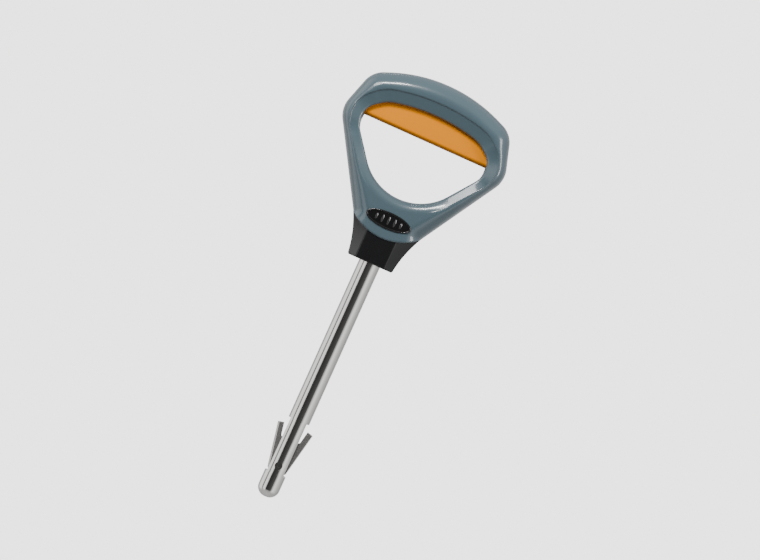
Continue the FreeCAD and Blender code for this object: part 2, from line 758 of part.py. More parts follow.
def open_path(sketch, right, bend):
    """A symmetric open path through corners, straight runs joined by bends of one radius."""
    points = [(x, z) for x, z in right] + [(-x, z) for x, z in reversed(right)]
    vectors = [FreeCAD.Vector(x.value, z.value, 0) for x, z in points]
    last = len(points) - 1
    ends = {0: (vectors[0], vectors[0]), last: (vectors[last], vectors[last])}
    arcs = {}
    for index in range(1, last):
        centre, start, end, turns_left = corner_arc(
            vectors[index - 1], vectors[index], vectors[index + 1], bend.value)
        ends[index] = (start, end)
        first, final = (start, end) if turns_left else (end, start)
        ring = Part.Circle(centre, FreeCAD.Vector(0, 0, 1), bend.value)
        arc = Part.ArcOfCircle(ring, ring.parameter(first), ring.parameter(final))
        arcs[index] = (arc, turns_left)
    lines = [sketch.addGeometry(Part.LineSegment(ends[index][1], ends[index + 1][0]))
             for index in range(last)]
    for line, position, index in ((lines[0], 1, 0), (lines[-1], 2, last)):
        hold(sketch, "DistanceX", (line, position), points[index][0])
        hold(sketch, "DistanceY", (line, position), points[index][1])
    for index, (arc, turns_left) in arcs.items():
        bent = sketch.addGeometry(arc)
        near, far = (1, 2) if turns_left else (2, 1)
        sketch.addConstraint(Sketcher.Constraint("Tangent", lines[index - 1], 2, bent, near))
        sketch.addConstraint(Sketcher.Constraint("Tangent", bent, far, lines[index], 1))
        hold(sketch, "Radius", (bent,), bend)
        mark = sketch.addGeometry(Part.Point(vectors[index]), True)
        sketch.addConstraint(Sketcher.Constraint("PointOnObject", mark, 1, lines[index - 1]))
        sketch.addConstraint(Sketcher.Constraint("PointOnObject", mark, 1, lines[index]))
        hold(sketch, "DistanceX", (mark, 1), points[index][0])
        hold(sketch, "DistanceY", (mark, 1), points[index][1])


def make_rivets():
    """Two headed rivets that hold the yoke in the trigger's ends."""
    body = new_body("yoke_rivets")
    end = cell("trigger_half")
    spans = [(YOKE_X - cell("rivet_grip"), end, cell("rivet_dia") / 2),
             (end, end + cell("rivet_head"), cell("rivet_dia") * 0.9)]
    for side in (-1, 1):
        for inner, outer, radius in spans:
            low, high = (inner, outer) if side > 0 else (-outer, -inner)
            rod(body, "Pad", "YZ_Plane", (ZERO, RIVET_Z), radius, low, high)


def make_pull_rod():
    """Round rod with a flat tang below, a clip groove and a stub for the nut above."""
    body = new_body("pull_rod")
    shoulder = cell("yoke_seat") - cell("yoke_thick") / 2
    foot = DRIVE_Z - DRIVE_R - 1.6
    rod(body, "Pad", "XY_Plane", (ZERO, ZERO), ROD_R, foot, shoulder)
    rod(body, "Pad", "XY_Plane", (ZERO, ZERO), STUB_R, shoulder, NUT_TOP + 0.6)
    half = cell("tang_thick") / 2
    for near in (half, -half - 3):
        spans = (-ROD_R - 1, ROD_R + 1, near, near + 3)
        block(body, "Pocket", "XY_Plane", spans, foot - 3, SLOT_TOP - 1.2)
    rod(body, "Pocket", "XZ_Plane", (ZERO, DRIVE_Z), DRIVE_R, -ROD_R, ROD_R)
    groove = new_sketch(body, "XZ_Plane")
    inner = ROD_R - cell("clip_groove")
    rectangle(groove, inner, ROD_R + 1, SPRING_FOOT - cell("clip_thick"), SPRING_FOOT)
    turn(body, "Groove", groove)


def make_washer():
    """Washer with a slit for the nut's locking tab."""
    body = new_body("rod_lock_washer")
    top = WASHER_LOW + cell("washer_thick")
    rod(body, "Pad", "XY_Plane", (ZERO, ZERO), STUB_R * 1.75, WASHER_LOW, top)
    rod(body, "Pocket", "XY_Plane", (ZERO, ZERO), STUB_R + cell("fit_gap"), WASHER_LOW, top)
    slit = (STUB_R - 0.5, STUB_R * 2, -0.35, 0.35)
    block(body, "Pocket", "XY_Plane", slit, WASHER_LOW, top)


def make_nut():
    """Hexagon nut on the rod's stub."""
    body = new_body("rod_nut")
    low = WASHER_LOW + cell("washer_thick")
    sketch = new_sketch(body, "XY_Plane", low)
    corner = STUB_R * 1.75 / math.cos(math.radians(30))
    turns = [math.radians(60 * k) for k in range(6)]
    outline(sketch, [(corner * math.cos(turn), corner * math.sin(turn), 0) for turn in turns])
    extrude(body, "Pad", sketch, cell("nut_height"))
    rod(body, "Pocket", "XY_Plane", (ZERO, ZERO), STUB_R, WASHER_LOW, NUT_TOP + 1)


def make_drive_pin():
    """Cross pin of the rod's tang, which runs in both wings' cam slots."""
    body = new_body("drive_pin")
    reach = cell("slot_width") / 2 - cell("fit_gap") * 2
    rod(body, "Pad", "XZ_Plane", (ZERO, DRIVE_Z), DRIVE_R, -reach, reach)


def make_spring_clip():
    """Open clip in the rod's groove: the spring's lower seat."""
    body = new_body("spring_seat_clip")
    low = SPRING_FOOT - cell("clip_thick")
    inner = ROD_R - cell("clip_groove")
    mouth = inner - cell("fit_gap")
    outer = cell("spring_bore") / 2 - cell("rod_gap")
    rod(body, "Pad", "XY_Plane", (ZERO, ZERO), outer, low, SPRING_FOOT)
    rod(body, "Pocket", "XY_Plane", (ZERO, ZERO), inner, low, SPRING_FOOT)
    block(body, "Pocket", "XY_Plane", (ZERO, outer + 1, -mouth, mouth), low, SPRING_FOOT)


def make_spring():
    """Compression spring around the rod, from the clip up to the bush."""
    body = new_body("return_spring")
    wire = cell("spring_wire") / 2
    profile = new_sketch(body, "XZ_Plane")
    circle(profile, cell("spring_mean") / 2, SPRING_FOOT + wire + 0.02, wire)
    coil = body.newObject("PartDesign::AdditiveHelix", "Helix")
    coil.Profile = profile
    coil.ReferenceAxis = (profile, ["V_Axis"])
    coil.Mode = "height-turns-angle"
    coil.setExpression("Height", (cell("spring_length") - wire * 2 - 0.04).text)
    coil.setExpression("Turns", cell("spring_turns").text)
    doc.recompute()


# ---- wings --------------------------------------------------------------------------------

def cam_slot(sketch):
    """Curved slot that turns the wing evenly as the drive pin rises along the pin's axis."""
    angle = cell("wing_angle")
    low = cell("drive_rise")
    high = low + cell("travel")
    middle = low + cell("travel") / 2
    path = [(-low * sine(angle), low * cosine(angle)),
            (-middle * sine(angle / 2), middle * cosine(angle / 2)),
            (ZERO, high)]
    foot, waist, head = [FreeCAD.Vector(x.value, z.value, 0) for x, z in path]
    guide = Part.Arc(foot, waist, head).toShape().Curve
    ring = guide.Center
    sweep = guide.Radius
    half = (DRIVE_R + cell("wing_gap")).value

    def arc(centre, radius, first, last):
        base = Part.Circle(centre, FreeCAD.Vector(0, 0, 1), radius)
        return sketch.addGeometry(Part.ArcOfCircle(base, base.parameter(first), base.parameter(last)))

    out_foot = (foot - ring).normalize()
    out_head = (head - ring).normalize()
    inner = (ring + out_foot * (sweep - half), ring + out_head * (sweep - half))
    outer = (ring + out_foot * (sweep + half), ring + out_head * (sweep + half))
    counter = out_foot.cross(out_head).z > 0
    if counter:
        far = arc(ring, sweep + half, outer[0], outer[1])
        near = arc(ring, sweep - half, inner[0], inner[1])
        top = arc(head, half, outer[1], inner[1])
        low_end = arc(foot, half, inner[0], outer[0])
    else:
        far = arc(ring, sweep + half, outer[1], outer[0])
        near = arc(ring, sweep - half, inner[1], inner[0])
        top = arc(head, half, inner[1], outer[1])
        low_end = arc(foot, half, outer[0], inner[0])
    sketch.addConstraint(Sketcher.Constraint("Coincident", far, 3, near, 3))
    joints = ((far, 2, top, 1), (near, 2, top, 2), (far, 1, low_end, 2), (near, 1, low_end, 1))
    if not counter:
        joints = ((far, 1, top, 2), (near, 1, top, 1), (far, 2, low_end, 1), (near, 2, low_end, 2))
    for joint in joints:
        sketch.addConstraint(Sketcher.Constraint("Tangent", *joint))
    for end, (x, z) in ((low_end, path[0]), (top, path[2])):
        hold(sketch, "DistanceX", (end, 3), x)
        hold(sketch, "DistanceY", (end, 3), z)
    hold(sketch, "Radius", (low_end,), DRIVE_R + cell("wing_gap"))
    mark = sketch.addGeometry(Part.Circle(ring, FreeCAD.Vector(0, 0, 1), sweep), True)
    sketch.addConstraint(Sketcher.Constraint("Coincident", mark, 3, far, 3))
    sketch.addConstraint(Sketcher.Constraint("PointOnObject", top, 3, mark))
    point = sketch.addGeometry(Part.Point(waist), True)
    hold(sketch, "DistanceX", (point, 1), path[1][0])
    hold(sketch, "DistanceY", (point, 1), path[1][1])
    sketch.addConstraint(Sketcher.Constraint("PointOnObject", point, 1, mark))


def make_wing(label, spin):
    """Bent-steel channel, drawn folded with its pivot at the origin and its back towards +X.
    The two wings are one stamping: the second is spun half a turn about the pin, so its
    flanges lie beside the first one's."""
    body = new_body(label)
    back = PIN_R - cell("fit_gap")
    gap = cell("wing_gap")
    sheet_thick = cell("sheet")
    far_y = cell("slot_width") / 2 - gap * 1.5
    near_y = -(far_y - sheet_thick - gap)
    length = cell("wing_length")
    foot = PIVOT_TO_SLOT_END + cell("foot_gap")
    rod(body, "Pad", "XY_Plane", (ZERO, ZERO), back, foot, length)
    for low, high in ((far_y, back + 1), (-back - 1, near_y)):
        block(body, "Pocket", "XY_Plane", (-back - 1, back + 1, low, high), foot, length)
    inside = new_sketch(body, "XY_Plane", foot)
    web = back - sheet_thick
    outline(inside, [
        (web - 0.7, near_y + sheet_thick, sheet_thick * 0.4),
        (web + 0.15, (near_y + far_y) / 2, sheet_thick * 2),
        (web - 0.7, far_y - sheet_thick, sheet_thick * 0.4),
        (-back - 1, far_y - sheet_thick, ZERO),
        (-back - 1, near_y + sheet_thick, ZERO),
    ])
    extrude(body, "Pocket", inside, length - foot)
    hub = DRIVE_R + gap + cell("hub_margin")
    hub_top = cell("drive_rise") + cell("travel") + hub
    inner = back - cell("flange_width")
    cam_foot = -cell("drive_rise") * sine(cell("wing_angle")) - hub
    side = new_sketch(body, "XZ_Plane")
    rectangle(side, -back - 3, back + 3, foot - 3, length + 3)
    outline(side, [
        (back + 1, length, ZERO),
        (inner, length, ZERO),
        (inner, hub_top + 0.4, 1.0),
        (-hub, hub_top - 0.6, 1.5),
        (cam_foot, cell("drive_rise"), 3.0),
        (-PIVOT_R - 1.3, foot * 0.62, 1.5),
        (-1.0, foot + 0.1, 2.0),
        (back * 0.62, foot + 0.1, 2.6),
        (back + 0.02, foot * 0.45, 1.0),
        (back + 1, foot * 0.40, ZERO),
    ])
    cut_through(body, side)
    rod(body, "Pocket", "XZ_Plane", (ZERO, ZERO), PIVOT_R + gap, -back - 1, back + 1)
    slot = new_sketch(body, "XZ_Plane")
    cam_slot(slot)
    cut_through(body, slot)
    lean = FreeCAD.Rotation(FreeCAD.Vector(0, 1, 0), SIZES["wing_angle"])
    about = FreeCAD.Rotation(FreeCAD.Vector(0, 0, 1), spin)
    body.Placement = FreeCAD.Placement(FreeCAD.Vector(0, 0, PIVOT_Z.value), about.multiply(lean))
    body.setExpression("Placement.Base.z", PIVOT_Z.text)
    doc.recompute()

make_shell("handle_front_shell", True)
make_shell("handle_rear_shell", False)
make_badge()
make_collar()
make_screws()
make_shank()
make_retaining_clip()
make_bush()
make_pivot_pin()
make_trigger()
make_yoke()
make_rivets()
make_pull_rod()
make_washer()
make_nut()
make_drive_pin()
make_spring_clip()
make_spring()
make_wing("right_wing", 0)
make_wing("left_wing", 180)

doc.recompute()
for item in doc.Objects:
    if "Invalid" in item.State or "Error" in item.State:
        raise RuntimeError(f"{item.Name} failed: {item.State}")
for node in NODES:
    if node.Shape.isNull() or not node.Shape.isValid() or not node.Shape.Solids:
        raise RuntimeError(f"{node.Label} has no valid solid")
    print(node.Label, len(node.Shape.Solids), round(node.Shape.Volume, 1))
os.makedirs("parts", exist_ok=True)
for node in NODES:
    node.Shape.exportStep(f"parts/{node.Label}.step")
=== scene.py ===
import json
import math

import bmesh
import bpy
import numpy as np
from mathutils import Matrix, Vector


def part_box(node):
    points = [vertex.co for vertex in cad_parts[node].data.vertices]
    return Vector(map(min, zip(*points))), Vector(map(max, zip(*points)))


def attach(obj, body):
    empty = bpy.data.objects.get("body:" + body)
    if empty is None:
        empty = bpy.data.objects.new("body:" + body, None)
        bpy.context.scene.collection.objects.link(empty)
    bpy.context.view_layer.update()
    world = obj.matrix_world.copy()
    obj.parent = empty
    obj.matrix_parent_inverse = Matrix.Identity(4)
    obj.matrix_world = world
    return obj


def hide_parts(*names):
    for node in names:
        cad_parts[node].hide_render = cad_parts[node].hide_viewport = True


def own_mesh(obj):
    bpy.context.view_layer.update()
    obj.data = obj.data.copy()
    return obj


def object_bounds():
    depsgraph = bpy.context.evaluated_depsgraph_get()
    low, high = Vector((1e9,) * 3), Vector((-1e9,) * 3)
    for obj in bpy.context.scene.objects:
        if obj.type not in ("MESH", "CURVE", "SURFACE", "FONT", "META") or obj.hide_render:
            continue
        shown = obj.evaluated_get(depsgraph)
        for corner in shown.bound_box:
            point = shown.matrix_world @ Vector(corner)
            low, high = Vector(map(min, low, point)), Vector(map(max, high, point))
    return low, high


# Hitch pin lock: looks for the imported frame. Lengths in this file are millimetres and
# become metres when a mesh or a light is made. +Z runs up the pin, -Y is the front.

MM = 0.001
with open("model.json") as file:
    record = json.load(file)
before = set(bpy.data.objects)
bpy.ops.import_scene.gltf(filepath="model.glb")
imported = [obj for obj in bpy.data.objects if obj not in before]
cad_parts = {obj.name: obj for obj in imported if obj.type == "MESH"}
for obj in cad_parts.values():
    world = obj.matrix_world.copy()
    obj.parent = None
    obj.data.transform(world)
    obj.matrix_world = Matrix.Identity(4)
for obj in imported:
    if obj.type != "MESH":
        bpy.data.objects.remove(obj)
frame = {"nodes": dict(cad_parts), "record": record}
cad_low, cad_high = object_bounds()


# ---- camera ---------------------------------------------------------------------------------

VIEW_TILT = 24.2
VIEW_DISTANCE = 1013.0
VIEW_LENS = 85.0
VIEW_AIM = (9.2, -6.2)


def make_camera():
    """A camera straight in front, rolled so that the handle leans to the right."""
    data = bpy.data.cameras.new("view")
    data.lens = VIEW_LENS
    data.sensor_width = 36.0
    data.clip_start = 0.01
    camera = bpy.data.objects.new("view", data)
    bpy.context.scene.collection.objects.link(camera)
    tilt = math.radians(VIEW_TILT)
    upward = Vector((-math.sin(tilt), 0, math.cos(tilt)))
    back = Vector((0, -1, 0))
    right = upward.cross(back)
    turn = Matrix((right, upward, back)).transposed()
    place = Vector((VIEW_AIM[0], -VIEW_DISTANCE, VIEW_AIM[1])) * MM
    camera.matrix_world = Matrix.Translation(place) @ turn.to_4x4()
    bpy.context.scene.camera = camera


make_camera()


# ---- shader writing -------------------------------------------------------------------------

class Wire:
    """One output socket of a shader tree. Arithmetic on it adds Math nodes."""

    def __init__(self, tree, socket):
        self.tree = tree
        self.socket = socket

    def math(self, operation, *others):
        return add_node(self.tree, "ShaderNodeMath", {"operation": operation}, [self, *others])

    def __add__(self, other):
        return self.math("ADD", other)

    def __radd__(self, other):
        return self.math("ADD", other)

    def __sub__(self, other):
        return self.math("SUBTRACT", other)

    def __rsub__(self, other):
        return add_node(self.tree, "ShaderNodeMath", {"operation": "SUBTRACT"}, [other, self])

    def __mul__(self, other):
        return self.math("MULTIPLY", other)

    def __rmul__(self, other):
        return self.math("MULTIPLY", other)

    def __truediv__(self, other):
        return self.math("DIVIDE", other)

    def __rtruediv__(self, other):
        return add_node(self.tree, "ShaderNodeMath", {"operation": "DIVIDE"}, [other, self])

    def clamp(self):
        return self.math("MAXIMUM", 0.0).math("MINIMUM", 1.0)


def add_node(tree, kind, settings=None, values=(), output=0):
    """Adds a node: settings first, then the values or links of its inputs, by name or number."""
    node = tree.nodes.new(kind)
    for name, value in (settings or {}).items():
        if name == "stops":
            ramp = node.color_ramp
            while len(ramp.elements) < len(value):
                ramp.elements.new(0.5)
            for element, (position, colour) in zip(ramp.elements, value):
                element.position = position
                element.color = colour
        else:
            setattr(node, name, value)
    pairs = values.items() if isinstance(values, dict) else enumerate(values)
    for key, value in pairs:
        if isinstance(value, Wire):
            tree.links.new(value.socket, node.inputs[key])
        elif value is not None:
            node.inputs[key].default_value = value
    return Wire(tree, node.outputs[output]) if node.outputs else None


COAT_ROUGHNESS = 0.06


class Finish:
    """A material being written: a Principled shader and the nodes that feed it."""

    def __init__(self, name, roughness, metallic=0.0, coat=0.0):
        self.material = bpy.data.materials.new(name)
        self.material.use_nodes = True
        self.tree = self.material.node_tree
        self.shader = self.tree.nodes["Principled BSDF"]
        self.set("Roughness", roughness)
        self.set("Metallic", metallic)
        self.set("Coat Weight", coat)
        self.set("Coat Roughness", COAT_ROUGHNESS)

    def set(self, socket, value):
        if isinstance(value, Wire):
            self.tree.links.new(value.socket, self.shader.inputs[socket])
        else:
            self.shader.inputs[socket].default_value = value

    def node(self, kind, settings=None, values=(), output=0):
        return add_node(self.tree, kind, settings, values, output)

    def place(self, stretch=(1, 1, 1)):
        """Object coordinates, stretched along the axes."""
        coordinates = self.node("ShaderNodeTexCoord", output="Object")
        return self.node("ShaderNodeMapping", {}, {"Vector": coordinates, "Scale": stretch})

    def noise(self, scale, detail=3.0, rough=0.5, stretch=(1, 1, 1)):
        """Fractal noise in 0..1; scale is waves per metre."""
        values = {"Vector": self.place(stretch), "Scale": scale, "Detail": detail, "Roughness": rough}
        return self.node("ShaderNodeTexNoise", {}, values, output="Fac")

    def blend(self, amount, first, second):
        """Colour mix from first to second by amount. The node's inputs share names between
        data types, so its colour inputs and output go by number."""
        values = {0: amount, 6: (*first, 1), 7: (*second, 1)}
        return self.node("ShaderNodeMix", {"data_type": "RGBA"}, values, output=2)

    def bump(self, height, distance, strength, under=None):
        """A bump of a depth in millimetres, over another bump if there is one."""
        values = {"Height": height, "Distance": distance * MM, "Strength": strength}
        if under is not None:
            values["Normal"] = under
        return self.node("ShaderNodeBump", {}, values, output="Normal")


def shade(colour, factor):
    """The colour with each channel multiplied by the factor."""
    return tuple(min(1.0, channel * factor) for channel in colour)


# ---- materials ------------------------------------------------------------------------------

def moulded_plastic(name, colour, roughness, coat=0.0, grain=0.02, shine=0.5):
    """Injection-moulded plastic: faint flow mottle, a fine skin and slow waviness."""
    finish = Finish(name, roughness, coat=coat)
    finish.set("Specular IOR Level", shine)
    flow = finish.noise(38, 4, 0.55, (1, 1, 0.6))
    finish.set("Base Color", finish.blend(flow, shade(colour, 0.95), shade(colour, 1.05)))
    smear = finish.noise(160, 3, 0.6)
    finish.set("Roughness", roughness + (smear - 0.5) * (roughness * 0.35))
    skin = finish.noise(2600, 2, 0.5)
    wave = finish.noise(55, 1, 0.4)
    fine = finish.bump(skin, grain, 0.5)
    finish.set("Normal", finish.bump(wave, 0.10, 0.35, fine))
    return finish.material


def bright_plate(name, colour, roughness):
    """Nickel plate over turned steel: fine rings round the pin, haze and small scuffs."""
    finish = Finish(name, roughness, metallic=1.0)
    haze = finish.noise(70, 4, 0.6)
    finish.set("Base Color", finish.blend(haze, shade(colour, 0.93), shade(colour, 1.05)))
    rings = finish.noise(1500, 2, 0.5, (0.02, 0.02, 1.0))
    scuff = finish.noise(900, 3, 0.7, (1, 1, 0.12))
    worn = ((scuff - 0.60) * 5).clamp()
    finish.set("Roughness", roughness + haze * 0.05 + worn * 0.04)
    finish.set("Normal", finish.bump(rings, 0.002, 0.2))
    return finish.material


def worked_steel(name, colour, roughness, stretch):
    """Drawn or machined steel: streaks along the work, dull patches and oil haze."""
    finish = Finish(name, roughness, metallic=1.0)
    streak = finish.noise(1400, 3, 0.6, stretch)
    patch = finish.noise(120, 3, 0.6)
    finish.set("Base Color", finish.blend(streak, shade(colour, 0.82), shade(colour, 1.08)))
    finish.set("Roughness", roughness + (patch - 0.5) * 0.22)
    finish.set("Normal", finish.bump(streak, 0.01, 0.4))
    return finish.material


HANDLE_BLUE = (0.090, 0.138, 0.162)
TRIGGER_ORANGE = (1.0, 0.31, 0.0)
BLACK = (0.011, 0.011, 0.012)

FINISHES = {
    "handle_plastic": moulded_plastic("handle_plastic", HANDLE_BLUE, 0.24, coat=0.5),
    "trigger_plastic": moulded_plastic("trigger_plastic", TRIGGER_ORANGE, 0.6, grain=0.03, shine=0.06),
    "collar_plastic": moulded_plastic("collar_plastic", BLACK, 0.28, coat=0.05, shine=0.4),
    "badge_plastic": moulded_plastic("badge_plastic", shade(BLACK, 0.7), 0.16, coat=0.4),
    "shank_plate": bright_plate("shank_plate", (0.80, 0.79, 0.77), 0.10),
    "wing_plate": bright_plate("wing_plate", (0.80, 0.78, 0.76), 0.30),
    "rod_steel": worked_steel("rod_steel", (0.50, 0.50, 0.51), 0.34, (1, 1, 0.05)),
    "strip_steel": worked_steel("strip_steel", (0.52, 0.53, 0.55), 0.38, (0.08, 1, 0.08)),
    "fastener_steel": worked_steel("fastener_steel", (0.62, 0.61, 0.58), 0.32, (1, 0.1, 1)),
    "spring_steel": worked_steel("spring_steel", (0.36, 0.36, 0.38), 0.36, (1, 1, 0.3)),
    "bush_brass": worked_steel("bush_brass", (0.74, 0.53, 0.24), 0.30, (1, 1, 0.1)),
}


def finish_cad_nodes():
    """Gives every CAD node the finish of its slot in the record."""
    slots = {part["node"]: part["material_slot"] for part in frame["record"]["subparts"]}
    for name, node in frame["nodes"].items():
        node.data.materials.clear()
        node.data.materials.append(FINISHES[slots[name]])


finish_cad_nodes()


# ---- mesh making ----------------------------------------------------------------------------

def add_mesh(name, points, faces):
    """An object whose mesh has these points, given in millimetres, and these faces."""
    mesh = bpy.data.meshes.new(name)
    mesh.from_pydata((points.reshape(-1, 3) * MM).tolist(), [], faces)
    mesh.validate()
    made = bpy.data.objects.new(name, mesh)
    bpy.context.scene.collection.objects.link(made)
    return made


def add_piece(name, points, faces, slot, body, crisp, replaced=()):
    """A closed piece with its finish, its body and the CAD nodes that it stands for. Its
    edges stay crisp where they turn by more than crisp degrees."""
    piece = add_mesh(name, points, faces)
    piece.data.materials.append(FINISHES[slot])
    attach(piece, body)
    if replaced:
        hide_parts(*replaced)
    outward(piece)
    sharpen(piece, crisp)
    return piece


def outward(piece):
    """Turns every face of a closed piece outwards."""
    work = bmesh.new()
    work.from_mesh(piece.data)
    bmesh.ops.recalc_face_normals(work, faces=work.faces)
    work.to_mesh(piece.data)
    work.free()


def sharpen(piece, degrees):
    """Shades the piece smooth, but keeps edges sharper than the angle crisp."""
    piece.data.shade_smooth()
    piece.data.set_sharp_from_angle(angle=math.radians(degrees))


def ring_faces(rows, columns, closed_rows=True, closed_columns=True):
    """Quads of a grid of points numbered row by row; either way round may be closed."""
    row = np.arange(rows if closed_rows else rows - 1)
    column = np.arange(columns if closed_columns else columns - 1)
    low, left = np.meshgrid(row, column, indexing="ij")
    high, right = (low + 1) % rows, (left + 1) % columns
    corners = [low * columns + left, low * columns + right, high * columns + right, high * columns + left]
    return np.stack(corners, axis=-1).reshape(-1, 4).tolist()


def capped_faces(rows, columns):
    """Quads of a grid whose rows close into rings, with a flat face over each end ring."""
    first = [row * columns for row in range(rows)]
    last = [row * columns + columns - 1 for row in range(rows)]
    return ring_faces(rows, columns, True, False) + [first, last]


def rounded_loop(corners, steps):
    """Closed loop of straight runs through (x, z, radius) corners, each corner an arc."""
    spots = np.array([corner[:2] for corner in corners], float)
    loop = []
    for index, (_, _, radius) in enumerate(corners):
        corner = spots[index]
        back = spots[index - 1] - corner
        ahead = spots[(index + 1) % len(corners)] - corner
        back = back / np.linalg.norm(back)
        ahead = ahead / np.linalg.norm(ahead)
        half = math.acos(float(np.clip(back @ ahead, -1, 1))) / 2
        middle = (back + ahead) / np.linalg.norm(back + ahead)
        centre = corner + middle * radius / math.sin(half)
        first = corner + back * radius / math.tan(half) - centre
        last = corner + ahead * radius / math.tan(half) - centre
        start = math.atan2(first[1], first[0])
        sweep = math.atan2(last[1], last[0]) - start
        sweep = (sweep + math.pi) % (2 * math.pi) - math.pi
        angle = start + sweep * np.linspace(0, 1, steps)
        loop.append(centre + radius * np.stack([np.cos(angle), np.sin(angle)], axis=1))
    return np.concatenate(loop)


def even_loop(loop, spacing):
    """The same closed loop with points about evenly spaced along it."""
    closed = np.vstack([loop, loop[:1]])
    length = np.concatenate([[0], np.cumsum(np.linalg.norm(np.diff(closed, axis=0), axis=1))])
    places = np.linspace(0, length[-1], int(length[-1] / spacing), endpoint=False)
    return np.stack([np.interp(places, length, closed[:, k]) for k in (0, 1)], axis=1)


def reach_at(loop, centre, angles):
    """Distance from a centre to a star-shaped loop in each direction."""
    spokes = loop - centre
    bearing = np.arctan2(spokes[:, 1], spokes[:, 0])
    order = np.argsort(bearing)
    return np.interp(angles, bearing[order], np.linalg.norm(spokes, axis=1)[order], period=2 * math.pi)


def distance_to(points, line):
    """Distance from each point to the nearest run of an open line of points."""
    flat = points.reshape(-1, 2)
    start, run = line[:-1], np.diff(line, axis=0)
    best = np.full(len(flat), 1e9)
    for origin, step in zip(start, run):
        share = np.clip((flat - origin) @ step / max(step @ step, 1e-12), 0, 1)
        gap = np.linalg.norm(flat - origin - share[:, None] * step, axis=1)
        best = np.minimum(best, gap)
    return best.reshape(points.shape[:-1])


def smooth_step(low, high, value):
    """0 below low, 1 above high, and 3 s^2 - 2 s^3 between them."""
    share = np.clip((value - low) / (high - low), 0, 1)
    return share * share * (3 - 2 * share)


def quarter_round(share):
    """Height of a quarter ellipse from its edge, 0, to its crest, 1."""
    return np.sqrt(np.clip(1 - (1 - np.clip(share, 0, 1)) ** 2, 0, 1))


# ---- handle shells --------------------------------------------------------------------------

def mirrored(right_side):
    """A loop's corners, right side first, then the same mirrored to the left."""
    return right_side + [(-x, z, r) for x, z, r in reversed(right_side) if x]


CROWN = (0, 116.8, 88)
SHOULDER = (42.9, 99.2, 14)
HIP = (50.8, 73.6, 15)
HUB_CORNER = (20.6, 23.3, 0.8)
BIB = (0, 4.8, 30)
OUTER = even_loop(rounded_loop(mirrored([CROWN, SHOULDER, HIP, HUB_CORNER, BIB]), 60), 0.5)
SPOKE_CENTRE = np.array([0.0, 66.0])
MOUTH_CROWN = (0, 93.1, 106)
MOUTH_SHOULDER = (28.1, 86.65, 18)
MOUTH_CORNER = (37.7, 79.0, 10)
MOUTH_HIP = (37.7, 69.1, 13)
MOUTH_FOOT = (0, 19.1, 31)
MOUTH_CORNERS = mirrored([MOUTH_CROWN, MOUTH_SHOULDER, MOUTH_CORNER, MOUTH_HIP, MOUTH_FOOT])
MOUTH = even_loop(rounded_loop(MOUTH_CORNERS, 60), 0.5)
HALF_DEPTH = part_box("handle_rear_shell")[1].y / MM
TRIGGER_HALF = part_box("trigger_grip")[1].y / MM
TRIGGER_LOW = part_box("trigger_grip")[0].z / MM
SPOKES = 440

SKIN = 2.0
MOUTH_WALL = 1.4
SEAM_CHAMFER = 0.30
REAR_FULLNESS = 2.1
FOLD_SINK = 0.45
BAND_STEP = 0.75
BAND_LOW = 8.7
BAND_FOOT = 6.6
LIP_DROP = 0.9
LIP_WIDTH = 1.1
STEP_STARTS, STEP_ENDS = 41, 54
TRIGGER_GAP = 0.35
SHELL_CRISP = 38

SCREW_SPOTS = ((-39.3, 93.4), (-18.0, 101.6), (18.0, 101.6), (39.3, 93.4))
SCREW_SEAT = 7.0
WELL_RADIUS = 2.85
BOSS_RADIUS = 4.0
BOSS_FOOT = 6.7
BOSS_TOP = 9.2


def bib_height(x):
    """Height of the shells' rounded lower edge at x: an arc, then its two tangents."""
    x = np.abs(x)
    half = math.atan((HUB_CORNER[1] - BIB[1]) / HUB_CORNER[0])
    centre = BIB[1] + BIB[2] / math.cos(half)
    arc = centre - np.sqrt(np.clip(BIB[2] ** 2 - x ** 2, 0, None))
    line = BIB[1] + x * math.tan(half)
    return np.where(x < BIB[2] * math.sin(half), arc, line)


def spoke_points():
    """Outer points, mouth points and the mouth's outward normals, one per spoke."""
    bearing = np.arctan2(*(OUTER - SPOKE_CENTRE).T[::-1])
    order = np.argsort(bearing)
    samples = np.linspace(0, len(order), SPOKES, endpoint=False).astype(int)
    angles = bearing[order][samples]
    toward = np.stack([np.cos(angles), np.sin(angles)], axis=1)
    outer = SPOKE_CENTRE + toward * reach_at(OUTER, SPOKE_CENTRE, angles)[:, None]
    mouth = SPOKE_CENTRE + toward * reach_at(MOUTH, SPOKE_CENTRE, angles)[:, None]
    along = np.roll(mouth, -1, axis=0) - np.roll(mouth, 1, axis=0)
    normal = np.stack([along[:, 1], -along[:, 0]], axis=1)
    normal /= np.linalg.norm(normal, axis=1)[:, None]
    normal *= np.sign((normal * toward).sum(axis=1))[:, None]
    for _ in range(6):
        normal = (np.roll(normal, 1, axis=0) + 2 * normal + np.roll(normal, -1, axis=0)) / 4
    normal /= np.linalg.norm(normal, axis=1)[:, None]
    return outer, mouth, normal


def shell_height(points):
    """Depth of the shell's face: a quarter ellipse in from the flank, whose width changes
    with height, times a small quarter-ellipse round along the lower edge."""
    flank_line = OUTER[OUTER[:, 1] > HUB_CORNER[1] + 0.2]
    flank_line = flank_line[np.argsort(np.arctan2(flank_line[:, 0], flank_line[:, 1] - 60))]
    flank = distance_to(points, flank_line)
    x, z = points[..., 0], points[..., 1]
    sweep = np.interp(z, [18, 34, 50, 70, 86, 98], [11.5, 9.0, 6.2, 6.6, 8.6, 10.5])
    bib = np.clip(z - bib_height(x), 0, None)
    height = HALF_DEPTH * quarter_round(flank / sweep)
    edge = 1 - 0.10 * (1 - quarter_round(bib / 1.2))
    return height * edge


def band_width(mouth):
    """Width of the sloping band round the opening: wide at the top, narrow in the legs."""
    return np.interp(mouth[:, 1], [40, 52, 64, 74, 84], [6.0, 5.4, 5.6, 6.6, 7.2])


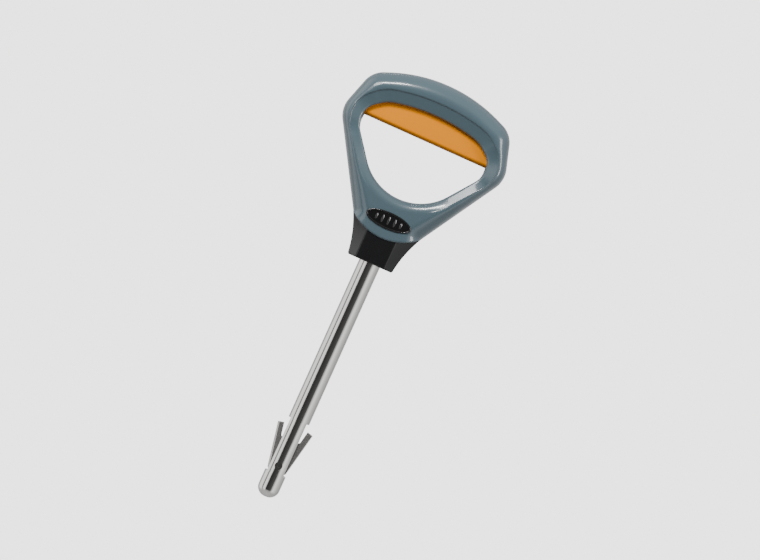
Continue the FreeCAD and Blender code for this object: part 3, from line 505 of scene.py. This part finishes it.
def face_section(outer, fold, side, stepped):
    """The face, from the flank to the fold: shares 1 - cos t of the way in, at the shell's
    height, sinking with the square of the share beyond 0.55 where the band is stepped."""
    share = 1 - np.cos(np.linspace(0, math.pi / 2, 30))[None, :, None]
    face = outer[:, None, :] * (1 - share) + fold[:, None, :] * share
    face_y = shell_height(face)
    if side > 0:  # the rear is fuller, so that the screws' wells lie within it
        face_y = HALF_DEPTH * (1 - np.clip(1 - face_y / HALF_DEPTH, 0, 1) ** REAR_FULLNESS)
    near_fold = np.clip(share[..., 0] - 0.55, 0, None) / 0.45
    return face, face_y - FOLD_SINK * near_fold ** 2 * stepped


def band_section(fold, mouth, width, top_y, stepped):
    """The band, from the fold to the opening's edge: a fine step down, an even slope and a
    rounded lip where stepped is 1, and most of a quarter-circle round where it is 0."""
    across = np.concatenate([[0.03, 0.06, 0.09, 0.12], np.linspace(0.18, 0.90, 12),
                             [0.94, 0.97, 0.99, 1.0]])[None, :]
    high = top_y - BAND_STEP * smooth_step(0.0, 0.10, across)
    slope = high - (high - BAND_LOW) * np.clip((across - 0.10) / 0.90, 0, 1)
    round_off = (top_y - BAND_FOOT) * (1 - np.sqrt(np.clip(1 - across ** 2, 0, 1))) * 0.85
    band_y = stepped * slope + (1 - stepped) * (top_y - round_off)
    lip = LIP_DROP * (1 - quarter_round((1 - across) * width[:, None] / LIP_WIDTH)) * stepped
    band = fold[:, None, :] * (1 - across[..., None]) + mouth[:, None, :] * across[..., None]
    return band, band_y - lip


def wall_section(mouth, edge_y, floor_y):
    """The opening's wall: straight down from its edge to its floor."""
    drop = np.linspace(0, 1, 7)[None, 1:]
    wall = np.repeat(mouth[:, None, :], drop.shape[1], axis=1)
    return wall, edge_y * (1 - drop) + floor_y * drop


def inside_section(outer, mouth, normal, outside, outside_y, floor_y):
    """The way back inside: every third outside point in reverse, a skin's thickness lower,
    brought onto the line from the opening's inner wall to the rim's."""
    back, back_y = outside[:, ::-1][:, ::3], outside_y[:, ::-1][:, ::3]
    mouth_side = mouth + normal * MOUTH_WALL
    span = outer - mouth_side
    reach = np.linalg.norm(span, axis=1)
    rim = SKIN * (1.25 - 0.55 * smooth_step(66, 76, outer[:, 1]))
    rim_share = np.clip(1 - rim / reach, 0.3, 1)[:, None]
    share = ((back - mouth_side[:, None]) * span[:, None]).sum(axis=2) / (reach ** 2)[:, None]
    share = np.clip(share, 0.0, rim_share)
    inside = mouth_side[:, None] + span[:, None] * share[..., None]
    inside_y = np.clip(back_y - SKIN, floor_y + 0.02, None)
    inside_y[:, 0] = floor_y[:, 0]
    inside_y[:, -1] = 0.0
    return inside, inside_y


def seam_section(outer):
    """The parting edge: a fine chamfer where the two shells meet."""
    toward = outer - SPOKE_CENTRE
    toward = toward / np.linalg.norm(toward, axis=1)[:, None]
    seam = np.stack([outer - toward * SEAM_CHAMFER, outer], axis=1)
    return seam, np.tile([0.0, SEAM_CHAMFER], (len(outer), 1))


def make_shell(name, side, node):
    """One shell: for every spoke a closed section, out over the skin and back inside it."""
    outer, mouth, normal = spoke_points()
    width = band_width(mouth)
    stepped = smooth_step(STEP_STARTS, STEP_ENDS, mouth[:, 1])[:, None]
    fold = mouth + normal * width[:, None]
    in_slot = smooth_step(TRIGGER_LOW - 3.2, TRIGGER_LOW - 2.6, mouth[:, 1])[:, None]
    floor_y = (TRIGGER_HALF + TRIGGER_GAP) * in_slot

    face, face_y = face_section(outer, fold, side, stepped)
    band, band_y = band_section(fold, mouth, width, face_y[:, -1:], stepped)
    wall, wall_y = wall_section(mouth, band_y[:, -1:], floor_y)
    outside = np.concatenate([face, band], axis=1)
    outside_y = np.concatenate([face_y, band_y], axis=1)
    inside, inside_y = inside_section(outer, mouth, normal, outside, outside_y, floor_y)
    seam, seam_y = seam_section(outer)
    face_y = np.maximum(face_y, SEAM_CHAMFER + 0.04)

    flat = np.concatenate([seam, face, band, wall, inside], axis=1)
    depth = np.concatenate([seam_y, face_y, band_y, wall_y, inside_y], axis=1)
    points = np.stack([flat[..., 0], side * depth, flat[..., 1]], axis=-1)
    return add_piece(name, points, ring_faces(*depth.shape), "handle_plastic", "handle", SHELL_CRISP, [node])


def plain_rod(name, x, z, radius, near, far):
    """A closed round rod along Y, as a helper for adding to and cutting from a shell."""
    angles = np.linspace(0, 2 * math.pi, 48, endpoint=False)
    ring = np.stack([x + radius * np.cos(angles), z + radius * np.sin(angles)], axis=1)
    ends = np.stack([np.insert(ring, 1, depth, axis=1) for depth in (near, far)], axis=1)
    helper = add_mesh(name, ends, capped_faces(48, 2))
    outward(helper)
    return helper


def combine(piece, helper, operation):
    """Adds a helper to a piece or cuts it away, then removes the helper."""
    modifier = piece.modifiers.new("combine", "BOOLEAN")
    modifier.operation = operation
    modifier.solver = "EXACT"
    modifier.object = helper
    bpy.context.view_layer.update()
    result = bpy.data.meshes.new_from_object(piece.evaluated_get(bpy.context.evaluated_depsgraph_get()))
    piece.modifiers.clear()
    piece.data = result
    bpy.data.objects.remove(helper)


def sink_screws(piece):
    """Screw wells in the rear shell: a boss behind the skin, then a round well down to it."""
    for x, z in SCREW_SPOTS:
        combine(piece, plain_rod("boss", x, z, BOSS_RADIUS, BOSS_FOOT, BOSS_TOP), "UNION")
        combine(piece, plain_rod("well", x, z, WELL_RADIUS, SCREW_SEAT, HALF_DEPTH + 1), "DIFFERENCE")
    sharpen(piece, SHELL_CRISP)


# ---- return spring --------------------------------------------------------------------------

SPRING_TURNS = 9
SPRING_WIRE_RADIUS = 0.45


def make_spring():
    """A wire of radius w wound at radius r: centre (r cos a, r sin a, z rising evenly with a).
    The whole coil is attached to the trigger and moves with it."""
    low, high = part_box("return_spring")
    wire = SPRING_WIRE_RADIUS
    radius = (high.x - low.x) / 2 / MM - wire
    bottom, top = low.z / MM, high.z / MM
    turn = np.linspace(0, 2 * math.pi * SPRING_TURNS, SPRING_TURNS * 40 + 1)[:, None]
    round_wire = np.linspace(0, 2 * math.pi, 12, endpoint=False)[None, :]
    reach = radius + wire * np.cos(round_wire)
    centre = bottom + wire + (top - bottom - 2 * wire) * turn / turn[-1]
    x, y, z = reach * np.cos(turn), reach * np.sin(turn), centre + wire * np.sin(round_wire)
    rows, columns = x.shape
    faces = ring_faces(rows, columns, False, True)
    faces += [list(range(columns)), list(range((rows - 1) * columns, rows * columns))]
    points = np.stack([x, y, z], axis=-1)
    piece = add_piece("spring_coil", points, faces, "spring_steel", "trigger", 180, ["return_spring"])
    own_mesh(piece)


# ---- collar ---------------------------------------------------------------------------------

COLLAR_TOP = HUB_CORNER[1]
COLLAR_FOOT = (13.7, 10.6)
COLLAR_FRONT_HALF = 8.8
COLLAR_CORNER = 1.6
SHANK_HOLE = 6.5
COLLAR_FLOOR = 3.0


def collar_rings(levels):
    """A ring of points for each level: an eight-sided polygon with small rounded corners. Its
    half width grows as 0.36 s + 0.64 s^2 with the share s of the height, its half depth
    evenly, and the lowest levels turn in by a quarter circle."""
    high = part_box("collar")[1] / MM
    foot_half, foot_deep = COLLAR_FOOT
    rings = []
    for level in levels:
        share = level / COLLAR_TOP
        half = foot_half + (high.x - foot_half - 0.35) * (0.36 * share + 0.64 * share ** 2)
        deep = foot_deep + (high.y - foot_deep) * share
        if level < 0.5:
            trim = 0.6 * (1 - quarter_round(level / 0.6))
            half, deep = half - trim, deep - trim
        side, front = 3.6 + 0.8 * share, COLLAR_FRONT_HALF
        corners = [(half, -side), (half, side), (front, deep), (-front, deep),
                   (-half, side), (-half, -side), (-front, -deep), (front, -deep)]
        loop = even_loop(rounded_loop([(*corner, COLLAR_CORNER) for corner in corners], 10), 0.15)
        angles = np.linspace(-math.pi, math.pi, 360, endpoint=False)
        reach = reach_at(loop, np.zeros(2), angles)
        rings.append(np.stack([reach * np.cos(angles), reach * np.sin(angles)], axis=1))
    return np.stack(rings, axis=1)


def between_levels(levels, rows, places):
    """Values known at the levels, one row for each column of places, read between them."""
    index = np.clip(np.searchsorted(levels, places) - 1, 0, len(levels) - 2)
    share = (places - levels[index]) / (levels[index + 1] - levels[index])
    low = np.take_along_axis(rows, index, axis=1)
    high = np.take_along_axis(rows, index + 1, axis=1)
    return low + (high - low) * share


def make_collar():
    """Flared ferrule: its skin follows the rings up to the shells' rounded lower edge, then
    turns in and down to a floor with the shank's hole."""
    levels = np.concatenate([[0.0, 0.25, 0.6], np.linspace(1.5, COLLAR_TOP, 26)])
    skin = collar_rings(levels)
    limit = np.minimum(bib_height(skin[:, :, 0]), COLLAR_TOP)
    top = levels[np.argmax(levels[None, :] >= limit, axis=1)]
    z = np.linspace(0, 1, 30)[None, :] * top[:, None]
    x = between_levels(levels, skin[:, :, 0], z)
    y = between_levels(levels, skin[:, :, 1], z)
    z = np.minimum(z, bib_height(x) - 0.02)
    bearing = np.arctan2(y[:, :1], x[:, :1])
    hole_x, hole_y = SHANK_HOLE * np.cos(bearing), SHANK_HOLE * np.sin(bearing)
    floor_z = np.full_like(bearing, COLLAR_FLOOR)
    all_x = np.concatenate([x, x[:, -1:] * 0.86, x[:, :1] * 0.80, hole_x, hole_x], axis=1)
    all_y = np.concatenate([y, y[:, -1:] * 0.82, y[:, :1] * 0.74, hole_y, hole_y], axis=1)
    all_z = np.concatenate([z, z[:, -1:], floor_z, floor_z, floor_z * 0], axis=1)
    points = np.stack([all_x, all_y, all_z], axis=-1)
    add_piece("collar_ferrule", points, ring_faces(*all_x.shape), "collar_plastic", "handle", 35, ["collar"])


# ---- badge ----------------------------------------------------------------------------------

BADGE_DOME = 0.12
RIB_HALF_WIDTH = 1.15
RIB_FOOT = 0.60
RIB_RISE = 0.66


def make_badge():
    """Oval badge: rings at an inset from the edge, each with its lift, make a raised round
    rim. Inside it the dome rises by 1 - (1 - s)^2, and carries five plain upright ribs."""
    low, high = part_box("badge_plate")
    middle = (low + high) / 2 / MM
    half, rise = (high.x - low.x) / 2 / MM, (high.z - low.z) / 2 / MM
    front = -low.y / MM
    angles = np.linspace(0, 2 * math.pi, 160, endpoint=False)[:, None]
    inset = np.array([0.0, 0.0, 0.06, 0.18, 0.34, 0.52, 0.70, 0.84, 0.94, 1.06, 1.30])[None, :]
    lift = np.array([-1.7, -0.42, -0.24, -0.10, -0.01, 0.02, 0.0, -0.08, -0.20, -0.40, -0.45])[None, :]
    x = (half - inset) * np.cos(angles)
    z = (rise - inset) * np.sin(angles)
    y = np.repeat(-(front + lift), len(angles), axis=0)
    left = 1 - np.linspace(0, 1, 12)[None, 1:-1]
    dome_y = y[:, -1:] - BADGE_DOME * (1 - left ** 2)
    x = np.concatenate([x, x[:, -1:] * left], axis=1)
    y = np.concatenate([y, dome_y], axis=1)
    z = np.concatenate([z, z[:, -1:] * left], axis=1)
    points = np.stack([x + middle.x, y, z + middle.z], axis=-1)
    add_piece("badge_oval", points, capped_faces(*x.shape), "badge_plastic", "handle", 40, ["badge_plate"])
    for index in range(-2, 3):
        make_rib(index, middle, half, rise, front)


def make_rib(index, middle, half, rise, front):
    """A roof-shaped rib on the badge: it rises evenly from its rim to its ridge."""
    tall, wide = rise * (0.60 - 0.04 * index * index), RIB_HALF_WIDTH
    across = np.linspace(0, 2 * math.pi, 36, endpoint=False)[:, None]
    up = np.array([0.0, 0.3, 0.6, 0.9])[None, :]
    x = middle.x + index * half * 0.27 + wide * np.cos(across) * (1 - up)
    z = middle.z + np.sin(across) * (tall - wide * up)
    y = np.repeat(-(front - RIB_FOOT) - RIB_RISE * up, len(across), axis=0)
    points = np.stack([x, y, z], axis=-1)
    add_piece(f"badge_rib_{index + 3}", points, capped_faces(*x.shape), "badge_plastic", "handle", 40)


# ---- trigger --------------------------------------------------------------------------------

TRIGGER_EDGE = 1.9


def make_trigger():
    """Finger bar: an outline with its faces rounded into its edge by a quarter circle."""
    low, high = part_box("trigger_grip")
    half, bottom, top = high.x / MM, low.z / MM, high.z / MM
    corners = mirrored([
        (half * 0.46, top, 9), (half * 0.74, bottom + 12.6, 9), (half * 0.84, bottom + 8.4, 6),
        (half, bottom + 5.1, 2.4), (half, bottom, 2.4)])
    loop = even_loop(rounded_loop(corners, 20), 0.6)
    along = np.roll(loop, -1, axis=0) - np.roll(loop, 1, axis=0)
    normal = np.stack([along[:, 1], -along[:, 0]], axis=1)
    normal /= np.linalg.norm(normal, axis=1)[:, None]
    normal *= np.sign(((loop - [0, (bottom + top) / 2]) * normal).sum())
    turn = np.linspace(0, math.pi / 2, 9)
    inset = TRIGGER_EDGE * (1 - np.cos(turn))
    depth = TRIGGER_HALF - TRIGGER_EDGE + TRIGGER_EDGE * np.sin(turn)
    inset = np.concatenate([inset[::-1], inset])[None, :, None]
    depth = np.concatenate([depth[::-1], -depth])[None, :]
    flat = loop[:, None, :] - normal[:, None, :] * inset
    y = np.repeat(depth, len(loop), axis=0)
    points = np.stack([flat[..., 0], y, flat[..., 1]], axis=-1)
    faces = capped_faces(*y.shape)
    add_piece("trigger_bar", points, faces, "trigger_plastic", "trigger", 40, ["trigger_grip"])


# ---- studio ---------------------------------------------------------------------------------

PANELS = [(-180, 0.55), (-125, 0.35), (-112, 1.0), (-78, 1.0), (-70, 0.10), (-62, 0.12),
          (-56, 1.0), (-36, 0.95), (-27, 0.02), (28, 0.06), (52, 0.95), (90, 0.50), (112, 0.40),
          (124, 0.30), (180, 0.55)]
PANEL_GAIN = 1.4
CEILING, GROUND, ROOM = 0.55, 0.22, 3.0
SOFT_SHARE = 0.64


def make_world():
    """A pale room for the camera. Reflections see upright panels, bright or dark by their
    bearing in degrees from the front, a ceiling and a ground; soft light sees them dimmed."""
    world = bpy.data.worlds.new("studio")
    bpy.context.scene.world = world
    world.use_nodes = True
    tree = world.node_tree
    tree.nodes.clear()
    direction = add_node(tree, "ShaderNodeTexCoord", output="Generated")
    split = add_node(tree, "ShaderNodeSeparateXYZ", {}, [direction])
    x, y, z = (Wire(tree, socket) for socket in split.socket.node.outputs)
    bearing = add_node(tree, "ShaderNodeMath", {"operation": "ARCTAN2"}, [x, y * -1.0])
    around = bearing / (2 * math.pi) + 0.5
    stops = [(0.5 + degrees / 360, (level, level, level, 1)) for degrees, level in PANELS]
    panels = add_node(tree, "ShaderNodeValToRGB", {"stops": stops}, [around]) * PANEL_GAIN
    high = ((z - 0.45) * 3).clamp()
    low = ((z * -1.0 - 0.45) * 3).clamp()
    level = panels * (1 - high) + high * CEILING
    level = level * (1 - low) + low * GROUND
    soft = add_node(tree, "ShaderNodeLightPath", output="Is Diffuse Ray")
    level = level * (1 - soft * SOFT_SHARE)
    seen = add_node(tree, "ShaderNodeLightPath", output="Is Camera Ray")
    strength = level * (1 - seen) + seen * ROOM
    back = add_node(tree, "ShaderNodeBackground", {}, {"Color": (1, 1, 1, 1), "Strength": strength})
    add_node(tree, "ShaderNodeOutputWorld", {}, {"Surface": back})


def make_light(name, place, aim, width, height, power):
    """A soft rectangular lamp at a place, turned to its aim, in millimetres and watts."""
    data = bpy.data.lights.new(name, "AREA")
    data.shape = "RECTANGLE"
    data.size, data.size_y = width * MM, height * MM
    data.energy = power
    lamp = bpy.data.objects.new(name, data)
    bpy.context.scene.collection.objects.link(lamp)
    toward = (Vector(aim) - Vector(place)).normalized()
    lamp.rotation_mode = "QUATERNION"
    lamp.rotation_quaternion = toward.to_track_quat("-Z", "Y")
    lamp.location = Vector(place) * MM


FLOOR_RADIUS = 480
FLOOR_DROP = 160
FLOOR_FADE_STARTS = 0.20


def make_floor():
    """A pale round floor well under the tip, whose alpha falls evenly towards its rim."""
    angles = np.linspace(0, 2 * math.pi, 72, endpoint=False)
    level = np.full_like(angles, cad_low.z / MM - FLOOR_DROP)
    points = np.stack([FLOOR_RADIUS * np.cos(angles), FLOOR_RADIUS * np.sin(angles), level], axis=-1)
    floor = add_mesh("floor", points, [list(range(len(angles)))])
    finish = Finish("floor_paper", 0.9)
    finish.set("Base Color", (0.93, 0.93, 0.93, 1))
    reach = finish.node("ShaderNodeVectorMath", {"operation": "LENGTH"}, [finish.place()], output="Value")
    finish.set("Alpha", 1 - ((reach - FLOOR_FADE_STARTS) * 3.8).clamp())
    floor.data.materials.append(finish.material)


make_shell("shell_front", -1, "handle_front_shell")
sink_screws(make_shell("shell_rear", 1, "handle_rear_shell"))
make_spring()
make_collar()
make_badge()
make_trigger()
make_world()
make_floor()
make_light("key", (-420, -620, 520), (0, 0, 60), 420, 300, 5.5)
make_light("corner", (-150, -330, 420), (-20, 0, 95), 90, 50, 1.0)
make_light("rim", (520, -240, 260), (0, 0, 40), 160, 420, 2.0)
